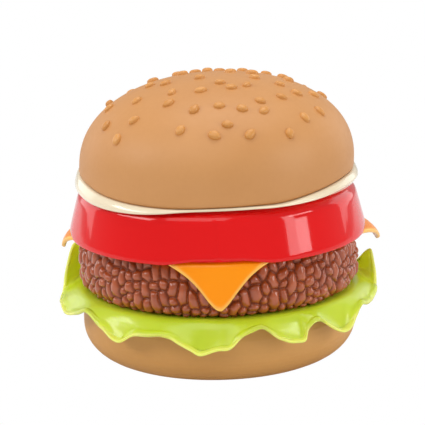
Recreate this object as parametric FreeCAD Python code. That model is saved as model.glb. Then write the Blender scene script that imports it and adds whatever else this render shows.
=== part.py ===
import FreeCAD, Part
import os
import math

V = FreeCAD.Vector
os.makedirs("parts", exist_ok=True)

# Hamburger-shaped clamshell telephone, millimetres.
# +Z up, the front of the burger faces -Y, origin under the middle of the feet.

# ---- driving dimensions -------------------------------------------------
BUN_R = 60.0            # widest radius of the top bun
BUN_H = 37.6            # height of the dome above its widest level
BUN_Z0 = 85.2           # level of the widest radius
BUN_N = 2.3             # superellipse exponent of the dome
BUN_WALL = 2.6
LEAN = 0.080            # sideways lean of the dome, mm per mm of height
SEAM = 76.0             # underside of the lid's plate
PLATE_T = 2.4
FACE_TOP = SEAM - 2.2   # top of the keypad face
FACE_T = 2.2
FACE_LOW = FACE_TOP - FACE_T
HOUSE_BOT = 54.6        # lower edge of the red housing
HOUSE_R_BOT = 64.6
HOUSE_R_TOP = 60.7
SHOULDER_Z = 71.2
WALL = 2.2
CHEESE_Z = 54.0         # underside of the cheese flange
CHEESE_T = 1.8
PATTY_Z0 = 31.0
PATTY_Z1 = CHEESE_Z
LEAF_Z = 29.2           # underside of the lettuce flange
LEAF_T = 1.8
BASE_R = 60.5
BASE_RIM = LEAF_Z
BASE_Z = 1.0            # underside of the bottom bun
FLOOR = 3.5
FILLET = 14.0
FOOT_R, FOOT_AT = 5.0, 40.0
HINGE_Y, HINGE_Z, HINGE_R = 65.5, 77.0, 4.0
PIN_R = 1.5
KEY_W, KEY_D = 11.0, 8.0
KEY_GAP = 0.4
KEY_PX, KEY_PY, KEY_Y0 = 15.0, 11.5, -18.5
KEY_TOP = SEAM - 0.6
KEY_LOW = FACE_LOW - 1.7
KEY_TRAVEL = 1.2
BOARD_TOP = KEY_LOW - KEY_TRAVEL - 0.3 - 1.0   # mat lies between board and keys
BOARD_T = 1.6
POST_X, POST_Y = 34.0, 28.0
HOOK_Y = 42.0
MIC_Y = -40.0
JACK_Z = 16.0


def cyl(r, z0, z1, x=0.0, y=0.0):
    return Part.makeCylinder(r, z1 - z0, V(x, y, z0), V(0, 0, 1))


def cylx(r, x0, x1, y, z):
    return Part.makeCylinder(r, x1 - x0, V(x0, y, z), V(1, 0, 0))


def cyly(r, y0, y1, x, z):
    return Part.makeCylinder(r, y1 - y0, V(x, y0, z), V(0, 1, 0))


def box(x0, x1, y0, y1, z0, z1):
    return Part.makeBox(x1 - x0, y1 - y0, z1 - z0, V(x0, y0, z0))


def rbox(x0, x1, y0, y1, z0, z1, r):
    b = box(x0, x1, y0, y1, z0, z1)
    up = [e for e in b.Edges if abs(e.tangentAt(e.FirstParameter).z) > 0.99]
    return b.makeFillet(r, up)


def revolve(profile):
    pts = [V(r, 0, z) for r, z in profile]
    pts.append(pts[0])
    return Part.Face(Part.makePolygon(pts)).revolve(V(0, 0, 0), V(0, 0, 1), 360)


def fuse(shapes):
    out = shapes[0]
    if len(shapes) > 1:
        out = out.multiFuse(shapes[1:])
    return out.removeSplitter()


def cut(shape, tools):
    for t in tools:
        shape = shape.cut(t)
    return shape


def solid_of(shape):
    """One clean solid, or a compound of the solids in the shape."""
    s = shape.Solids
    return s[0] if len(s) == 1 else Part.makeCompound(s)


def save(shape, node):
    shape = solid_of(shape)
    if not shape.isValid():
        print("INVALID", node)
    b = shape.BoundBox
    print(node, len(shape.Solids), round(shape.Volume / 1000.0, 3), [round(k, 1) for k in (b.XMin, b.XMax, b.YMin, b.YMax, b.ZMin, b.ZMax)])
    shape.exportStep("parts/%s.step" % node)


def torus_solid(columns):
    """Closed smooth ring through a grid of control points: columns around, loops across."""
    nu, nv = len(columns), len(columns[0])
    surf = Part.BSplineSurface()
    surf.buildFromPolesMultsKnots(
        columns, [1] * (nu + 1), [1] * (nv + 1),
        [float(i) for i in range(nu + 1)], [float(i) for i in range(nv + 1)],
        True, True, 3, 3)
    s = Part.makeSolid(Part.makeShell([surf.toShape()]))
    if s.Volume < 0:
        s.reverse()
    return s


def at(phi, r, z):
    """Point at an azimuth measured from the front, positive towards +X."""
    a = math.radians(phi)
    return V(r * math.sin(a), -r * math.cos(a), z)


def wave(table, phi):
    """Smooth periodic interpolation of (azimuth, value) pairs."""
    phi = (phi + 180.0) % 360.0 - 180.0
    n = len(table)
    xs = [t[0] for t in table]
    ys = [t[1] for t in table]
    i = n - 1
    for k in range(n):
        if xs[k] > phi:
            i = k - 1
            break
    def X(k):
        return xs[k % n] + 360.0 * (k // n)
    def Y(k):
        return ys[k % n]
    if i < 0:
        phi += 360.0
        i = n - 1
    x0, x1, x2, x3 = X(i - 1), X(i), X(i + 1), X(i + 2)
    y0, y1, y2, y3 = Y(i - 1), Y(i), Y(i + 1), Y(i + 2)
    t = (phi - x1) / (x2 - x1)
    m1 = (y2 - y0) / (x2 - x0) * (x2 - x1)
    m2 = (y3 - y1) / (x3 - x1) * (x2 - x1)
    return ((2 * t**3 - 3 * t**2 + 1) * y1 + (t**3 - 2 * t**2 + t) * m1
            + (-2 * t**3 + 3 * t**2) * y2 + (t**3 - t**2) * m2)


def offset_loop(path, t):
    """Closed loop around a path of (r, z) points, thickness t."""
    top, bot = [], []
    n = len(path)
    for i, (r, z) in enumerate(path):
        a, b = path[max(i - 1, 0)], path[min(i + 1, n - 1)]
        dr, dz = b[0] - a[0], b[1] - a[1]
        L = math.hypot(dr, dz) or 1.0
        nr, nz = -dz / L, dr / L
        top.append((r + nr * t / 2, z + nz * t / 2))
        bot.append((r - nr * t / 2, z - nz * t / 2))
    return top + bot[::-1]


def tube(points, r):
    """Insulated wire: straight runs joined by tangent arcs."""
    pts = [V(*p) for p in points]
    n = len(pts)
    ins, outs, mids = [None] * n, [None] * n, [None] * n
    for i in range(1, n - 1):
        a, b = pts[i - 1].sub(pts[i]), pts[i + 1].sub(pts[i])
        cutb = 0.45 * min(a.Length, b.Length)
        a.normalize()
        b.normalize()
        turn = math.pi - a.getAngle(b)
        rad = cutb / math.tan(turn / 2)
        bis = a.add(b)
        bis.normalize()
        c = pts[i].add(bis.multiply(rad / math.cos(turn / 2)))
        ins[i], outs[i] = pts[i].add(V(a).multiply(cutb)), pts[i].add(V(b).multiply(cutb))
        d = pts[i].sub(c)
        d.normalize()
        mids[i] = c.add(d.multiply(rad))
    edges, last = [], pts[0]
    for i in range(1, n - 1):
        edges.append(Part.LineSegment(last, ins[i]).toShape())
        edges.append(Part.Arc(ins[i], mids[i], outs[i]).toShape())
        last = outs[i]
    edges.append(Part.LineSegment(last, pts[-1]).toShape())
    t = pts[1].sub(pts[0])
    ring = Part.Wire(Part.makeCircle(r, pts[0], t))
    return Part.Wire(edges).makePipeShell([ring], True, False)


def screw(x, y, z_head, head_r, head_h, r, length, up=True):
    """Pan-head screw; the shank runs up from the head when up is true."""
    s = 1 if up else -1
    h = cyl(head_r, min(z_head, z_head - s * head_h), max(z_head, z_head - s * head_h), x, y)
    b = cyl(r, min(z_head, z_head + s * length), max(z_head, z_head + s * length), x, y)
    f = h.fuse(b)
    zt = z_head - s * head_h
    slot = box(x - 0.5 * head_r, x + 0.5 * head_r, y - 0.4, y + 0.4, min(zt, zt + s * 0.8), max(zt, zt + s * 0.8))
    slot2 = box(x - 0.4, x + 0.4, y - 0.5 * head_r, y + 0.5 * head_r, min(zt, zt + s * 0.8), max(zt, zt + s * 0.8))
    return f.cut(slot).cut(slot2)


# ---- wavy outlines, as (azimuth, value) ---------------------------------
RIM = [(-165, 83.0), (-140, 83.6), (-115, 83.4), (-90, 82.4), (-70, 80.6), (-56, 78.6), (-40, 77.1),
       (-20, 76.4), (0, 76.9), (14, 77.1), (26, 77.1), (40, 78.7), (52, 80.2), (64, 81.4), (80, 82.2),
       (105, 83.4), (135, 83.6), (160, 83.2)]
LIP = [(-165, 76.2), (-140, 76.3), (-118, 76.3), (-95, 75.9), (-73, 75.1), (-60, 73.7), (-45, 73.1), (-30, 73.6),
       (-16, 75.0), (-6, 75.6), (8, 75.8), (20, 75.9), (32, 76.0), (45, 76.6), (60, 77.9), (78, 78.2),
       (100, 77.0), (120, 76.3), (140, 76.3), (162, 76.2)]
LIP_R = [(-160, 61.6), (-110, 61.6), (-73, 61.9), (-45, 62.0), (-25, 61.8), (-12, 60.6), (0, 59.9), (12, 60.6),
         (25, 61.6), (60, 62.0), (90, 61.8), (130, 61.6)]

# ---- top bun ------------------------------------------------------------
def dome_profile(wall, z_low):
    a, h = BUN_R - wall, BUN_H - wall
    pts = []
    for i in range(0, 25):
        t = math.radians(90.0 * i / 24)
        c, s = math.cos(t), math.sin(t)
        pts.append((a * c ** (2 / BUN_N) if c > 1e-9 else 0.0, BUN_Z0 + h * s ** (2 / BUN_N)))
    low = (a + 0.2, z_low)
    return low, pts


def dome(wall, z_low):
    low, pts = dome_profile(wall, z_low)
    curve = Part.BSplineCurve()
    curve.interpolate([V(r, 0, z) for r, z in [low, (low[0] + 0.05, (z_low + BUN_Z0) / 2)] + pts])
    top = pts[-1][1]
    edges = [curve.toShape(),
             Part.makeLine(V(0, 0, top), V(0, 0, z_low)),
             Part.makeLine(V(0, 0, z_low), V(low[0], 0, z_low))]
    return Part.Face(Part.Wire(edges)).revolve(V(0, 0, 0), V(0, 0, 1), 360)


def lean(shape):
    m = FreeCAD.Matrix()
    m.A13 = LEAN
    m.A14 = -LEAN * (BUN_Z0 - 5.0)
    return shape.transformGeometry(m)


SEEDS = [(-46.2, -9.6, 20), (-46.3, -25.3, 25), (-40.9, -37.8, 60), (-34.0, -35.4, 10), (-33.5, -21.5, 30),
         (-28.0, 13.3, 20), (-28.6, -6.4, 20), (-21.6, -11.1, 20), (-18.5, -24.9, 60), (-19.6, -33.8, 25),
         (-17.1, 15.9, 25), (-14.5, 8.6, 5), (-9.0, 20.0, 5), (-3.5, 14.6, 5), (-6.9, -10.2, 0), (-6.2, -27.8, 5),
         (-8.7, -41.5, 60), (-14.2, -49.7, 45), (2.0, 22.9, 0), (6.5, 4.2, 0), (1.9, -20.1, -10), (6.5, -25.7, 0),
         (1.6, -40.5, -5), (4.9, -49.9, -10), (-0.1, -53.7, -30), (11.9, 16.8, -5), (15.6, 1.9, -5),
         (16.3, -9.6, -10), (12.9, -21.8, 60), (10.7, -41.8, -10), (18.0, -35.2, -15), (19.5, -40.7, 50),
         (13.9, -52.2, 60), (22.2, 18.4, -5), (29.0, 10.4, -10), (30.9, 0.7, -10), (26.6, -14.0, -10),
         (26.8, -28.0, -20), (33.5, -19.0, -15), (41.1, -10.3, -10), (36.0, -35.5, -45), (42.7, -24.9, -30),
         (29.6, -46.4, -60), (-38.0, 22.0, 40), (-30.0, 34.0, 10), (-16.0, 30.0, 70), (-20.0, 46.0, 30),
         (-5.0, 38.0, 15), (2.0, 50.0, -20), (10.0, 31.0, 50), (16.0, 43.0, -30), (27.0, 31.0, 10),
         (34.0, 40.0, -50), (39.0, 22.0, 60), (46.0, 10.0, -10), (-47.0, 6.0, 80), (-41.0, 38.0, 20), (-8.0, 53.0, 60)]


def seed(x, y, turn):
    """Low oval grain, flush into the crust, lying along the dome."""
    xs = x
    r = math.hypot(xs, y)
    k = max(1.0 - (r / BUN_R) ** BUN_N, 1e-6)
    z = BUN_Z0 + BUN_H * k ** (1 / BUN_N)
    gr = BUN_N * r ** (BUN_N - 1) / BUN_R ** BUN_N
    gz = BUN_N * (z - BUN_Z0) ** (BUN_N - 1) / BUN_H ** BUN_N
    n = V(gr * xs / max(r, 1e-6), gr * y / max(r, 1e-6), gz)
    n.normalize()
    m = FreeCAD.Matrix()
    m.scale(2.6, 1.9, 1.25)
    e = Part.makeSphere(1.0).transformGeometry(m)
    rot = FreeCAD.Rotation(V(0, 0, 1), n).multiply(FreeCAD.Rotation(V(0, 0, 1), turn))
    e.Placement = FreeCAD.Placement(V(xs, y, z), rot)
    return e


def wavy_block(table, dz, r0, r1, z0):
    """Everything below a wavy level, between two radii: the tool that trims a wavy rim."""
    def ring(r, f):
        pts = [at(-180 + 5 * i, r, f(-180 + 5 * i)) for i in range(72)]
        c = Part.BSplineCurve()
        c.interpolate(pts, PeriodicFlag=True)
        return c.toShape()
    f = lambda p: wave(table, p) + dz
    g = lambda p: z0
    a, b, c, d = ring(r0, f), ring(r1, f), ring(r1, g), ring(r0, g)
    faces = [Part.makeRuledSurface(a, b), Part.makeRuledSurface(b, c), Part.makeRuledSurface(c, d), Part.makeRuledSurface(d, a)]
    sh = Part.makeShell([f2 for x in faces for f2 in x.Faces])
    sh.sewShape()
    s = Part.makeSolid(sh)
    if s.Volume < 0:
        s.reverse()
    return s


LID_SCREWS = [(-33.0, -30.0), (33.0, -30.0), (-33.0, 30.0), (33.0, 30.0)]
RX_POSTS = [(-24.0, 0.0), (24.0, 0.0)]

outer = lean(dome(0.0, 75.0))
inner = lean(dome(BUN_WALL, 74.0))
shell = outer.cut(inner)
shell = shell.cut(wavy_block(RIM, 0.0, 40.0, 75.0, 60.0))
grains = []
for s in SEEDS:
    g = seed(*s)
    g.translate(V(LEAN * (g.BoundBox.Center.z - (BUN_Z0 - 5.0)), 0, 0))
    grains.append(g)
shell = shell.multiFuse(grains)
plain = lean(dome(0.6, 75.0))
posts = []
for x, y in LID_SCREWS:
    posts.append(cyl(4.0, SEAM + PLATE_T, 125.0, x, y).common(plain))
shell = shell.multiFuse(posts)
for x, y in LID_SCREWS:
    shell = shell.cut(cyl(1.5, SEAM, 93.0, x, y))
save(shell, "top_bun_shell")

# ---- lid plate with its wavy cream edge ---------------------------------
cols = []
for i in range(72):
    p = -180 + 5 * i
    zl, zu, ro = wave(LIP, p), wave(RIM, p), wave(LIP_R, p)
    zu = max(zu, zl + 0.9)
    cols.append([at(p, r, z) for r, z in [
        (56.5, SEAM + 0.05), (58.6, SEAM + 0.05), (60.45 if ro > 61 else 59.0, min(zl + 0.5, SEAM + 0.3)),
        (61.0 if ro > 61 else 59.5, zl - 0.1), (ro + 0.1, zl + 0.3),
        (ro + 0.1, zl + 0.45 * (zu - zl)), (60.9 if ro > 61 else ro, zl + 0.85 * (zu - zl)), (60.4, zu - 0.02),
        (58.9, zu - 0.02), (57.4, zu - 0.02), (56.5, 0.5 * (zu + SEAM))]])
cream_ring = torus_solid(cols)
plate = cyl(57.1, SEAM, SEAM + PLATE_T)
arm = Part.Face(Part.makePolygon([V(0, y, z) for y, z in
      [(54.0, SEAM + 0.1), (61.6, SEAM + 0.1), (HINGE_Y, HINGE_Z), (HINGE_Y, HINGE_Z + HINGE_R), (60.5, 81.5), (54.0, 81.0), (54.0, SEAM + 0.1)]])
      ).extrude(V(27.2, 0, 0))
arm.translate(V(-13.6, 0, 0))
knuckle = cylx(HINGE_R, -13.6, 13.6, HINGE_Y, HINGE_Z)
plate = plate.fuse(cream_ring)
plate = plate.multiFuse([arm, knuckle])
holes = [cylx(PIN_R + 0.06, -14.0, 14.0, HINGE_Y, HINGE_Z)]
for rr, n in [(0.0, 1), (4.5, 6), (9.0, 12), (13.5, 16)]:
    for k in range(n):
        a = 2 * math.pi * k / n
        holes.append(cyl(1.1, SEAM - 1, SEAM + 4, rr * math.cos(a), rr * math.sin(a)))
for x, y in LID_SCREWS:
    holes += [cyl(1.7, SEAM - 1, SEAM + 5, x, y), cyl(3.2, SEAM - 1, SEAM + 1.2, x, y)]
holes.append(box(-9.5, -6.0, 50.0, 56.0, SEAM + PLATE_T, 90.0))
plate = cut(plate, holes)
for x, y in RX_POSTS:
    plate = plate.fuse(cyl(3.0, SEAM + PLATE_T - 0.2, SEAM + 12.0, x, y)).cut(cyl(1.0, SEAM + 4.0, SEAM + 12.5, x, y))
save(plate, "earpiece_plate")

lid_screws = []
for x, y in LID_SCREWS:
    lid_screws.append(screw(x, y, SEAM + 1.2, 2.9, 1.1, 1.5, 12.0))
save(Part.makeCompound(lid_screws), "lid_screws")

# receiver, held on the plate under a clamp
Z = SEAM + PLATE_T
save(cyl(17.0, Z, Z + 1.5).cut(cyl(14.6, Z - 1, Z + 2)), "receiver_gasket")
frame = revolve([(15.0, Z + 1.5), (17.0, Z + 1.5), (17.0, Z + 3.5), (11.0, Z + 8.0), (11.0, Z + 9.4), (0.0, Z + 9.4), (0.0, Z + 8.2), (9.8, Z + 8.2), (15.0, Z + 4.0)])
for k in range(4):
    a = math.pi / 4 + k * math.pi / 2
    frame = frame.cut(cyl(2.2, Z + 4.6, Z + 8.1, 13.4 * math.cos(a), 13.4 * math.sin(a)))
save(frame, "receiver_frame")
cone = revolve([(14.9, Z + 1.6), (14.9, Z + 2.0), (12.0, Z + 2.6), (5.0, Z + 5.0), (0.0, Z + 4.2), (0.0, Z + 3.8), (5.0, Z + 4.5), (12.0, Z + 2.1)])
save(cone, "receiver_diaphragm")
save(cyl(9.5, Z + 9.4, Z + 14.4).cut(cyl(2.0, Z + 12.0, Z + 15.0)), "receiver_magnet")
clamp = rbox(-28.0, 28.0, -5.0, 5.0, SEAM + 12.0, SEAM + 13.4, 3.0)
clamp = clamp.cut(cyl(9.6, SEAM + 11, SEAM + 14))
ring = cyl(11.6, SEAM + 12.0, SEAM + 13.4).cut(cyl(9.6, SEAM + 11, SEAM + 14))
clamp = clamp.fuse(ring)
for x, y in RX_POSTS:
    clamp = clamp.cut(cyl(1.1, SEAM + 11, SEAM + 14, x, y))
save(clamp, "receiver_clamp")
save(Part.makeCompound([screw(x, y, SEAM + 13.4, 2.0, 1.2, 1.0, 7.0, up=False) for x, y in RX_POSTS]), "receiver_screws")
save(tube([(0.0, 11.3, Z + 8.4), (-1.0, 20.0, Z + 8.4), (-5.0, 36.0, Z + 3.0), (-7.7, 47.0, Z + 1.3), (-7.7, 54.8, Z + 1.3)], 0.9), "receiver_lead")

# ---- hinge pin ----------------------------------------------------------
save(cylx(PIN_R, -25.0, 25.0, HINGE_Y, HINGE_Z), "hinge_pin")

# ---- red housing with the keypad face -----------------------------------
KEYS = []
names = [["key_star", "key_0", "key_hash"], ["key_7", "key_8", "key_9"], ["key_4", "key_5", "key_6"], ["key_1", "key_2", "key_3"]]
for row in range(4):
    for c in range(3):
        KEYS.append((names[row][c], (c - 1) * KEY_PX, KEY_Y0 + row * KEY_PY, KEY_W, KEY_D))
KEYS.append(("key_flash", -11.0, KEY_Y0 + 4 * KEY_PY + 0.5, 15.0, 7.0))
KEYS.append(("key_redial", 11.0, KEY_Y0 + 4 * KEY_PY + 0.5, 15.0, 7.0))

wall = revolve([(HOUSE_R_BOT, HOUSE_BOT), (HOUSE_R_TOP, SHOULDER_Z), (60.3, 72.2), (59.6, 73.3), (58.6, 74.4), (57.4, 75.2), (56.4, 75.4),
                (55.2, 75.3), (54.4, FACE_TOP), (0.0, FACE_TOP), (0.0, FACE_LOW), (56.0, FACE_LOW), (58.3, 70.4), (HOUSE_R_BOT - WALL - 0.1, HOUSE_BOT)])
skirt = cyl(53.6, CHEESE_Z + CHEESE_T, FACE_LOW + 0.1).cut(cyl(51.6, CHEESE_Z, FACE_LOW + 1))
parts = [wall, skirt]
for sx in (-1, 1):
    x0, x1 = (14.0, 24.0) if sx > 0 else (-24.0, -14.0)
    f = Part.Face(Part.makePolygon([V(0, y, z) for y, z in
        [(54.8, 71.0), (59.5, 67.0), (67.6, 73.6), (HINGE_Y, HINGE_Z), (61.8, 75.6), (54.8, 75.3), (54.8, 71.0)]])).extrude(V(10.0, 0, 0))
    f.translate(V(x0, 0, 0))
    parts += [f, cylx(HINGE_R, x0, x1, HINGE_Y, HINGE_Z)]
for sx in (-1, 1):
    for sy in (-1, 1):
        parts.append(cyl(4.5, LEAF_Z + 3.0, FACE_LOW + 0.1, sx * POST_X, sy * POST_Y))
BOARD_SCREWS = [(-25.3, -26.0), (25.3, -26.0), (-25.3, 30.0), (25.3, 30.0)]
for x, y in BOARD_SCREWS:
    parts.append(cyl(2.4, BOARD_TOP, FACE_LOW + 0.1, x, y))
parts.append(cyl(6.6, FACE_LOW - 5.5, FACE_LOW + 0.1, 0, MIC_Y))
housing = fuse(parts)
holes = []
for n, x, y, w, d in KEYS:
    holes.append(rbox(x - w / 2 - KEY_GAP, x + w / 2 + KEY_GAP, y - d / 2 - KEY_GAP, y + d / 2 + KEY_GAP, FACE_LOW - 1, FACE_TOP + 1, 2.4 if w < 14 else 3.6))
holes.append(cyl(3.4, FACE_LOW - 1, FACE_TOP + 1, 0, HOOK_Y))
holes.append(cyl(5.4, FACE_LOW - 6, FACE_LOW, 0, MIC_Y))
for k in range(5):
    a = 2 * math.pi * k / 5
    holes.append(cyl(0.9, FACE_LOW - 1, FACE_TOP + 1, 2.8 * math.cos(a), MIC_Y + 2.8 * math.sin(a)))
for sx in (-1, 1):
    for sy in (-1, 1):
        holes.append(cyl(1.5, LEAF_Z + 2, LEAF_Z + 18.0, sx * POST_X, sy * POST_Y))
for x, y in BOARD_SCREWS:
    holes.append(cyl(1.0, BOARD_TOP - 1, FACE_LOW, x, y))
for sx in (-1, 1):
    x0, x1 = (13.0, 25.0) if sx > 0 else (-25.0, -13.0)
    holes.append(cylx(PIN_R, x0, x1, HINGE_Y, HINGE_Z))
holes.append(Part.makeCylinder(1.2, 14.6, V(-15.5, 51.0, 66.68), V(0, 11.7, 7.6)))
holes.append(box(-17.2, -13.2, 44.0, 53.8, 58.0, 69.0))
NOTCH = CHEESE_Z + CHEESE_T + 0.3
for a in (0, 96, 180, 268):
    b = box(-24.5, 24.5, -72.0, -50.0, 50.0, NOTCH)
    b = b.common(cyl(72.0, 49, 80)).cut(cyl(57.5, 49, 80))
    b.rotate(V(0, 0, 0), V(0, 0, 1), a)
    holes.append(b)
housing = cut(housing, holes)
save(housing, "tomato_housing")

# ---- keys ---------------------------------------------------------------
for n, x, y, w, d in KEYS:
    r = 2.0 if w < 14 else 3.2
    cap = rbox(x - w / 2, x + w / 2, y - d / 2, y + d / 2, KEY_LOW + 0.3, KEY_TOP, r)
    top = [e for e in cap.Edges if e.BoundBox.ZMin > KEY_TOP - 0.01]
    cap = cap.makeFillet(0.5, top)
    flange = rbox(x - w / 2 - 0.8, x + w / 2 + 0.8, y - d / 2 - 0.8, y + d / 2 + 0.8, KEY_LOW, FACE_LOW - 0.4, r + 0.6)
    save(cap.fuse(flange).removeSplitter(), n)

# ---- key mat, board and what is on it -----------------------------------
mat = rbox(-22.0, 22.0, KEY_Y0 - 6.5, KEY_Y0 + 4 * KEY_PY + 5.5, BOARD_TOP, BOARD_TOP + 0.6, 2.0)
for n, x, y, w, d in KEYS:
    mat = mat.fuse(cyl(2.6, BOARD_TOP + 0.5, BOARD_TOP + 1.0, x, y))
save(mat.removeSplitter(), "keypad_mat")
board = rbox(-28.0, 28.0, -33.0, 48.0, BOARD_TOP - BOARD_T, BOARD_TOP, 3.0).common(cyl(51.2, 0, 100))
holes = [cyl(2.6, BOARD_TOP - 3, BOARD_TOP + 1, 0, HOOK_Y)]
for x, y in BOARD_SCREWS:
    holes.append(cyl(1.2, BOARD_TOP - 3, BOARD_TOP + 1, x, y))
for sx in (-1, 1):
    for sy in (-1, 1):
        holes.append(cyl(5.2, BOARD_TOP - 3, BOARD_TOP + 1, sx * POST_X, sy * POST_Y))
save(cut(board, holes), "circuit_board")
BL = BOARD_TOP - BOARD_T
save(Part.makeCompound([screw(x, y, BL, 2.0, 1.2, 1.0, 4.6) for x, y in BOARD_SCREWS]), "board_screws")
chip = box(-9.0, 9.0, -3.3, 3.3, BL - 4.0, BL - 0.6)
legs = [box(-8.3 + 2.54 * i, -7.8 + 2.54 * i, s * 3.9 - 0.2, s * 3.9 + 0.2, BL - 2.6, BL) for i in range(7) for s in (-1, 1)]
legs += [box(-8.3 + 2.54 * i, -7.8 + 2.54 * i, min(s * 3.0, s * 4.1), max(s * 3.0, s * 4.1), BL - 2.6, BL - 2.2) for i in range(7) for s in (-1, 1)]
dialer = fuse([chip] + legs)
save(dialer, "dialer_chip")
sp = dialer.copy()
sp.translate(V(0, -14.0, 0))
save(sp, "speech_chip")
caps = [cyl(3.0, BL - 8.0, BL, x, y) for x, y in [(-18.0, 10.0), (-18.0, 18.0), (18.0, 12.0), (-18.0, -6.0)]]
save(Part.makeCompound(caps), "filter_capacitors")
trafo = fuse([box(10.0, 22.0, 18.0, 29.0, BL - 9.0, BL - 1.0), box(8.5, 23.5, 21.0, 26.0, BL - 9.8, BL - 0.2)] + [cyl(0.5, BL - 2, BL, x, y) for x in (12.0, 20.0) for y in (19.5, 27.5)])
save(trafo, "line_transformer")
diodes = [cylx(1.2, -6.0 + 0, -1.0, y, BL - 1.4) for y in (11.0, 15.0, 19.0, 23.0)]
diodes = [fuse([d, cylx(0.3, -8.0, 1.0, y, BL - 1.4), cyl(0.3, BL - 1.6, BL, -7.8, y), cyl(0.3, BL - 1.6, BL, 0.8, y)]) for d, y in zip(diodes, (11.0, 15.0, 19.0, 23.0))]
save(Part.makeCompound(diodes), "bridge_diodes")

# ---- hook switch --------------------------------------------------------
hook = fuse([cyl(3.0, BOARD_TOP + 2.6, SEAM - 0.3, 0, HOOK_Y), cyl(3.9, BOARD_TOP + 0.9, BOARD_TOP + 1.5, 0, HOOK_Y),
             cyl(2.0, BL - 5.5, BOARD_TOP + 2.7, 0, HOOK_Y)])
save(hook, "hook_plunger")
hb = rbox(-7.0, 7.0, HOOK_Y - 5.0, HOOK_Y + 5.0, BL - 9.0, BL, 1.0)
hb = hb.cut(cyl(2.35, BL - 8.0, BL + 1, 0, HOOK_Y))
save(hb, "hook_switch_body")
helix = Part.makeHelix(0.8, 2.0, 1.5)
helix.translate(V(0, HOOK_Y, BL - 7.75))
c = Part.Wire(Part.makeCircle(0.22, V(1.5, HOOK_Y, BL - 7.75), V(0, 1, 0)))
save(Part.Wire(helix).makePipeShell([c], True, True), "hook_spring")

# ---- microphone ---------------------------------------------------------
save(cyl(5.35, FACE_LOW - 6.0, FACE_LOW - 0.1, 0, MIC_Y).cut(cyl(4.8, FACE_LOW - 5.4, FACE_LOW + 1, 0, MIC_Y)), "microphone_grommet")
save(cyl(4.8, FACE_LOW - 5.4, FACE_LOW - 0.3, 0, MIC_Y), "microphone_capsule")
save(tube([(0.0, MIC_Y, FACE_LOW - 6.1), (0.5, MIC_Y + 0.3, FACE_LOW - 9.0), (4.0, -34.5, BL - 4.0), (6.0, -28.5, BL - 3.6), (6.0, -28.5, BL - 0.05)], 0.6), "microphone_lead")

# ---- cheese -------------------------------------------------------------
CH_F, CH_B, CH_L, CH_R = 81.6, 78.0, 74.0, 78.4
CORNER_L, CORNER_R = -92.0, 99.0
CH_FULL = [(-180, 79.0), (CORNER_L, 75.0), (0, 81.0), (CORNER_R, 68.0)]     # final slope of the drooping corners
CH_BEND = [(-180, 4.0), (CORNER_L, 9.5), (0, 3.2), (CORNER_R, 14.0)]       # length of sheet that bends


def square_angle(p):
    """Azimuth inside the unbent square: the front corner is narrow, the side corners sit a little back."""
    knots = [(-180.0, -180.0), (CORNER_L, -90.0), (-25.0, -29.0), (0.0, 0.0), (25.0, 29.0), (CORNER_R, 90.0), (180.0, 180.0)]
    for (a, b), (c, d) in zip(knots, knots[1:]):
        if p <= c:
            return b + (d - b) * (p - a) / (c - a)
    return p


cols = []
angs = []
quarters = [-180.0, CORNER_L, 0.0, CORNER_R, 180.0]
for lo, hi in zip(quarters, quarters[1:]):
    for d in (0, 1.2, 2.8, 5, 8, 12, 17, 23, 30, 38, 45, 52, 60, 67, 73, 78, 82, 85, 87.2, 88.8):
        angs.append(lo + (hi - lo) * d / 90.0)
for p in angs:
    a = math.radians(square_angle(p))
    c, s = math.cos(a), math.sin(a)
    hf = CH_F if c > 0 else CH_B
    hs = CH_R if s > 0 else CH_L
    reach = 1.0 / (abs(c) / hf + abs(s) / hs)
    full, bend = math.radians(wave(CH_FULL, p)), wave(CH_BEND, p)
    zt = CHEESE_Z + CHEESE_T / 2
    flat_to = 61.0
    path = []
    n = 10
    for k in range(n):
        s1 = 50.9 + (reach - 50.9) * k / (n - 1)
        if s1 <= flat_to:
            path.append((s1, zt))
        else:
            d = s1 - flat_to
            if d < bend:
                th = full * d / bend
                path.append((flat_to + bend / full * math.sin(th), zt - bend / full * (1 - math.cos(th))))
            else:
                r0 = flat_to + bend / full * math.sin(full)
                z0 = zt - bend / full * (1 - math.cos(full))
                path.append((r0 + (d - bend) * math.cos(full), z0 - (d - bend) * math.sin(full)))
    cols.append([at(p, r, z) for r, z in offset_loop(path, CHEESE_T)])
save(torus_solid(cols), "cheese_slice")

# ---- patty --------------------------------------------------------------
patty = revolve([(57.2, PATTY_Z0), (59.4, 33.0), (60.8, 36.0), (61.5, 40.0), (61.3, 44.0), (60.4, 48.5), (59.2, 52.0), (58.2, PATTY_Z1),
                 (50.5, PATTY_Z1), (50.5, PATTY_Z1 - 2.0), (56.6, PATTY_Z1 - 2.0), (58.2, 48.0), (59.0, 42.0), (58.2, 36.0), (56.4, PATTY_Z0 + 2.0), (50.5, PATTY_Z0 + 2.0), (50.5, PATTY_Z0)])
save(patty, "patty_shell")

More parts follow.
